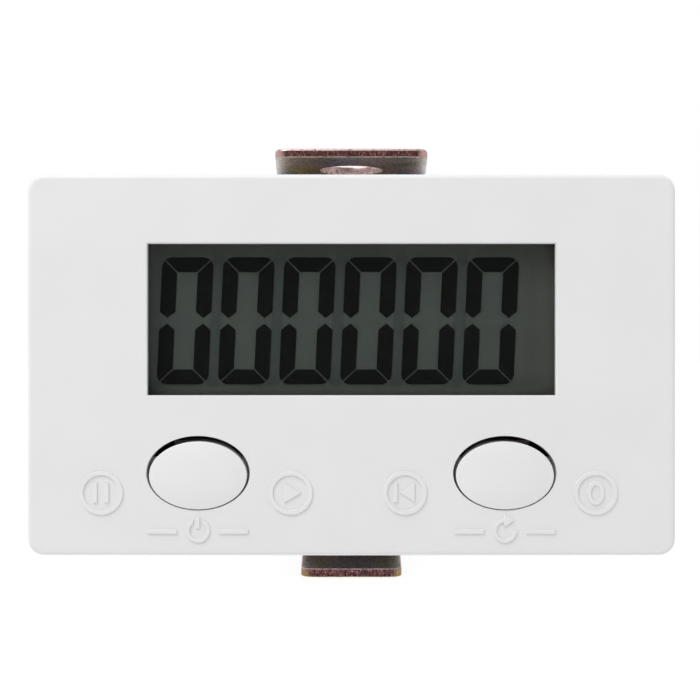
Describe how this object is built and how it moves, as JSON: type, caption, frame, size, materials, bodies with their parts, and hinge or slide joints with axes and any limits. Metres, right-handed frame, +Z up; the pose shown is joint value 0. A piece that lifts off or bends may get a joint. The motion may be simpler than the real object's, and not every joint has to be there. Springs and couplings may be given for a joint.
{
  "type": "panel counter",
  "caption": "Panel-mount electronic counter with LCD window, two oval push buttons, sliding battery door and a U-shaped clamp bracket drawn in by a thumb nut.",
  "frame": {"origin": "centre of the bezel's rear face, the plane that seats on the panel", "axes": "+X to the right seen from the front, +Y to the rear, +Z up"},
  "size_m": [0.062, 0.041, 0.0436],
  "materials": {
    "white_abs": "fine satin moulding",
    "button_abs": "semi-gloss moulding",
    "screw_steel": "zinc plated",
    "polarizer_film": "smooth film",
    "lcd_glass": "clear",
    "lcd_ink": "flat dark segments",
    "seal_resin": "matt",
    "reflector_film": "matt grey-green",
    "holder_plastic": "matt",
    "zebra_rubber": "matt with fine black lines",
    "board_laminate": "solder mask",
    "black_resin": "satin epoxy",
    "nickel_can": "nickel plated",
    "capacitor_ceramic": "sintered ceramic",
    "switch_plastic": "matt",
    "tinned_metal": "tinned",
    "cell_sleeve": "shrink sleeve",
    "brass": "machined",
    "yellow_zinc_steel": "iridescent yellow chromate on zinc",
    "nut_nickel": "nickel plated, knurled"
  },
  "bodies": {
    "housing": {"front_case": "white_abs", "rear_cover": "white_abs", "cover_screws": "screw_steel", "lcd_front_polarizer": "polarizer_film", "lcd_front_glass": "lcd_glass", "lcd_segments": "lcd_ink", "lcd_edge_seal": "seal_resin", "lcd_rear_glass": "lcd_glass", "lcd_reflector": "reflector_film", "lcd_holder": "holder_plastic", "zebra_strips": "zebra_rubber", "circuit_board": "board_laminate", "board_screws": "screw_steel", "controller_blob": "black_resin", "quartz_crystal": "nickel_can", "chip_capacitors": "capacitor_ceramic", "chip_resistors": "black_resin", "switch_bases": "switch_plastic", "switch_covers": "nickel_can", "switch_snap_domes": "nickel_can", "switch_pins": "tinned_metal", "battery_cell": "nickel_can", "battery_sleeve": "cell_sleeve", "battery_spring": "nickel_can", "battery_contacts": "nickel_can", "terminal_inserts": "brass", "terminal_leads": "tinned_metal", "clamp_stud": "screw_steel"},
    "power_key": {"power_button": "button_abs", "power_switch_plunger": "switch_plastic"},
    "reset_key": {"reset_button": "button_abs", "reset_switch_plunger": "switch_plastic"},
    "battery_hatch": {"battery_door": "white_abs"},
    "clamp": {"mounting_bracket": "yellow_zinc_steel", "flat_washer": "screw_steel", "lock_washer": "screw_steel"},
    "clamp_nut": {"thumb_nut": "nut_nickel"},
    "left_wire_clamp": {"terminal_washer_left": "screw_steel"},
    "right_wire_clamp": {"terminal_washer_right": "screw_steel"},
    "left_terminal": {"terminal_screw_left": "screw_steel"},
    "right_terminal": {"terminal_screw_right": "screw_steel"}
  },
  "joints": [
    {"name": "power_press", "type": "slide", "parent": "housing", "child": "power_key", "axis": [0, 1, 0], "range_m": [0, 0.0004], "stiffness_N_per_m": 2500},
    {"name": "reset_press", "type": "slide", "parent": "housing", "child": "reset_key", "axis": [0, 1, 0], "range_m": [0, 0.0004], "stiffness_N_per_m": 2500},
    {"name": "door_slide", "type": "slide", "parent": "housing", "child": "battery_hatch", "axis": [1, 0, 0], "range_m": [0, 0.053]},
    {"name": "bracket_slide", "type": "slide", "parent": "housing", "child": "clamp", "axis": [0, 1, 0], "range_m": [-0.004, 0.003]},
    {"name": "nut_turn", "type": "hinge", "parent": "clamp", "child": "clamp_nut", "pos_m": [0, 0.0322, 0.0022], "axis": [0, 1, 0], "range_deg": [-2060, 1545]},
    {"name": "left_clamp_slide", "type": "slide", "parent": "housing", "child": "left_wire_clamp", "axis": [0, 1, 0], "range_m": [0, 0.0015]},
    {"name": "left_screw_turn", "type": "hinge", "parent": "left_wire_clamp", "child": "left_terminal", "pos_m": [0.0122, 0.0234, 0.0085], "axis": [0, 1, 0], "range_deg": [0, 1081]},
    {"name": "right_clamp_slide", "type": "slide", "parent": "housing", "child": "right_wire_clamp", "axis": [0, 1, 0], "range_m": [0, 0.0015]},
    {"name": "right_screw_turn", "type": "hinge", "parent": "right_wire_clamp", "child": "right_terminal", "pos_m": [0.0192, 0.0234, 0.0085], "axis": [0, 1, 0], "range_deg": [0, 1081]}
  ],
  "couplings": [
    {"joint": "nut_turn", "follows": "bracket_slide", "rad_per_m": 8976},
    {"joint": "left_screw_turn", "follows": "left_clamp_slide", "rad_per_m": 12566},
    {"joint": "right_screw_turn", "follows": "right_clamp_slide", "rad_per_m": 12566}
  ]
}
